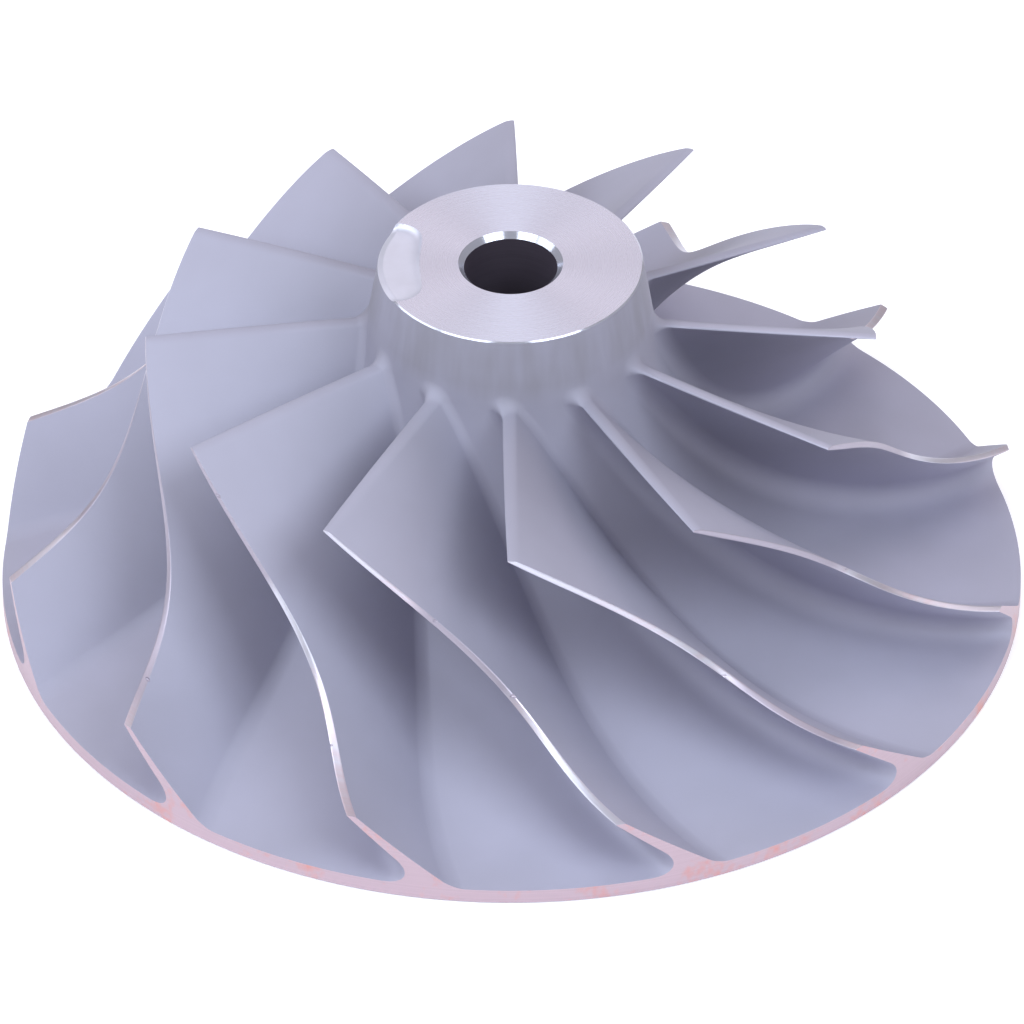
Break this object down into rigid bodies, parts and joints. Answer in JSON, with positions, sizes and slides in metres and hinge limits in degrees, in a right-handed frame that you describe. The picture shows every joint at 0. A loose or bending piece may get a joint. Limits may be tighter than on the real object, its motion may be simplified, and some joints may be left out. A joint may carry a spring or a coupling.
{
  "type": "compressor wheel",
  "caption": "Cast turbocharger compressor wheel: flared hub with backswept blades, thin back disc, bored nose with a milled balance pocket.",
  "frame": {"origin": "centre of the shaft bore on the flat back face", "axes": "+Z along the bore towards the nose; +X to the right in the picture"},
  "size_m": [0.11, 0.11, 0.0434],
  "materials": {
    "cast_aluminium": "satin casting with turned faces and edges"
  },
  "bodies": {
    "root": {"compressor_wheel": "cast_aluminium"}
  },
  "joints": []
}
